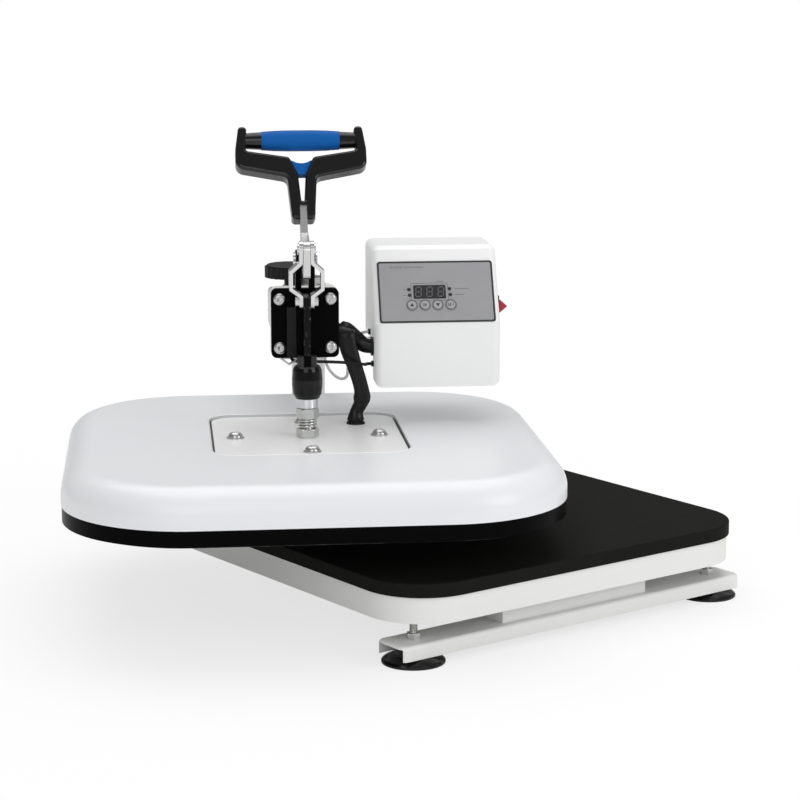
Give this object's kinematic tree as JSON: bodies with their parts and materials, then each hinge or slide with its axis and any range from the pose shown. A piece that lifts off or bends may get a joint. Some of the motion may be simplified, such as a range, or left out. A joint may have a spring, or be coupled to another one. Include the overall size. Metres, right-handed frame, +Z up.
{
  "type": "swing-away heat press",
  "caption": "Benchtop heat press: rubber-faced lower pad on suction feet, post with a swing arm, heated upper platen on a toggle clamp, and a control box.",
  "frame": {"origin": "centre of the lower pressing pad's top face", "axes": "+X to the user's right, -Y towards the user, +Z up"},
  "size_m": [0.5607, 0.514, 0.4074],
  "materials": {
    "white_gloss": "gloss enamel",
    "white_powder": "satin powder coat",
    "black_coat": "satin",
    "black_plastic": "matte",
    "black_rubber": "matte",
    "silicone": "matte",
    "polished_steel": "polished",
    "machined_steel": "turned",
    "bushes": "sintered",
    "cast_aluminium": "machined",
    "steel_sheet": "plain",
    "blue_grip": "satin",
    "knob_top": "matte",
    "panel_label": "printed film",
    "window": "tinted",
    "key_caps": "matte",
    "red_rocker": "translucent",
    "board": "solder mask",
    "braid": "woven sleeve",
    "grey_wire": "matte",
    "blanket": "felted fibre"
  },
  "bodies": {
    "base": {"front_rail": "white_powder", "rear_rail": "white_powder", "centre_beam": "white_powder", "tray_ribs": "white_powder", "lower_tray": "white_powder", "pressing_pad": "silicone", "suction_feet": "black_rubber", "foot_studs": "machined_steel", "frame_bolts": "machined_steel", "post": "white_powder", "swing_spindle": "machined_steel", "brake_disc": "machined_steel"},
    "swing_arm": {"swing_arm": "white_powder", "arm_bushes": "bushes", "box_bracket": "white_powder", "clamp_body": "black_coat", "clamp_barrel": "black_coat", "clamp_screws": "machined_steel", "fulcrum_pin": "polished_steel", "limit_switch": "black_plastic", "control_housing": "white_gloss", "housing_back": "white_gloss", "housing_screws": "machined_steel", "front_label": "panel_label", "display_window": "window", "circuit_board": "board", "rocker_bezel": "black_plastic", "mains_inlet": "black_plastic", "lead_glands": "black_plastic", "heater_sleeve": "braid", "switch_lead": "black_plastic", "earth_lead": "grey_wire"},
    "press_head": {"plunger": "polished_steel", "plunger_nuts": "polished_steel", "plunger_spring": "polished_steel", "cover_shell": "white_gloss", "access_plate": "white_gloss", "dome_bolts": "polished_steel", "sleeve_grommet": "black_rubber", "heater_band": "black_coat", "heating_plate": "cast_aluminium", "heating_element": "steel_sheet", "insulation_blanket": "blanket"},
    "handle": {"lever_bar": "polished_steel", "handle_frame": "black_coat", "handle_web": "blue_grip", "grip_bar": "black_plastic", "grip_sleeve": "blue_grip", "handle_rivets": "machined_steel"},
    "links": {"link_plates": "polished_steel", "link_pins": "polished_steel"},
    "brake_knob": {"brake_knob": "black_plastic", "knob_cap": "knob_top", "brake_screw": "machined_steel"},
    "power_rocker": {"power_rocker": "red_rocker"},
    "switch_lever": {"switch_lever": "steel_sheet"},
    "button_up": {"button_up": "key_caps"},
    "button_ok": {"button_ok": "key_caps"},
    "button_down": {"button_down": "key_caps"},
    "button_set": {"button_set": "key_caps"}
  },
  "joints": [
    {"name": "arm_swing", "type": "hinge", "parent": "base", "child": "swing_arm", "pos_m": [0.0171, 0.2467, 0.15], "axis": [0, 0, 1], "range_deg": [-75, 30.8]},
    {"name": "press_slide", "type": "slide", "parent": "swing_arm", "child": "press_head", "axis": [0, 0, -1], "range_m": [0, 0.03024]},
    {"name": "handle_lever", "type": "hinge", "parent": "swing_arm", "child": "handle", "pos_m": [-0.11572, 0.05729, 0.229], "axis": [0.859, -0.512, 0], "range_deg": [0, 106.22]},
    {"name": "link_pivot", "type": "hinge", "parent": "handle", "child": "links", "pos_m": [-0.12521, 0.04138, 0.2397], "axis": [0.859, -0.512, 0], "range_deg": [-123.17, 0]},
    {"name": "brake_knob_turn", "type": "hinge", "parent": "swing_arm", "child": "brake_knob", "pos_m": [-0.007, 0.24162, 0.189], "axis": [0, 0, 1], "continuous": true},
    {"name": "power_rocker_tilt", "type": "hinge", "parent": "swing_arm", "child": "power_rocker", "pos_m": [0.066, 0.02348, 0.1762], "axis": [0.512, 0.859, 0], "range_deg": [0, 14]},
    {"name": "switch_lever_tilt", "type": "hinge", "parent": "swing_arm", "child": "switch_lever", "pos_m": [-0.12464, 0.0597, 0.1409], "axis": [0.512, 0.859, 0], "range_deg": [0, 6], "stiffness_Nm_per_rad": 0.02, "springref_deg": -1.72},
    {"name": "button_up_press", "type": "slide", "parent": "swing_arm", "child": "button_up", "axis": [0.4376, 0.734, -0.5194], "range_m": [0, 0.0006], "stiffness_N_per_m": 400, "springref_m": -0.0005},
    {"name": "button_ok_press", "type": "slide", "parent": "swing_arm", "child": "button_ok", "axis": [0.4376, 0.734, -0.5194], "range_m": [0, 0.0006], "stiffness_N_per_m": 400, "springref_m": -0.0005},
    {"name": "button_down_press", "type": "slide", "parent": "swing_arm", "child": "button_down", "axis": [0.4376, 0.734, -0.5194], "range_m": [0, 0.0006], "stiffness_N_per_m": 400, "springref_m": -0.0005},
    {"name": "button_set_press", "type": "slide", "parent": "swing_arm", "child": "button_set", "axis": [0.4376, 0.734, -0.5194], "range_m": [0, 0.0006], "stiffness_N_per_m": 400, "springref_m": -0.0005}
  ],
  "couplings": [
    {"joint": "handle_lever", "follows": "press_slide", "rad_per_m": 61.312},
    {"joint": "link_pivot", "follows": "press_slide", "rad_per_m": -71.097}
  ]
}
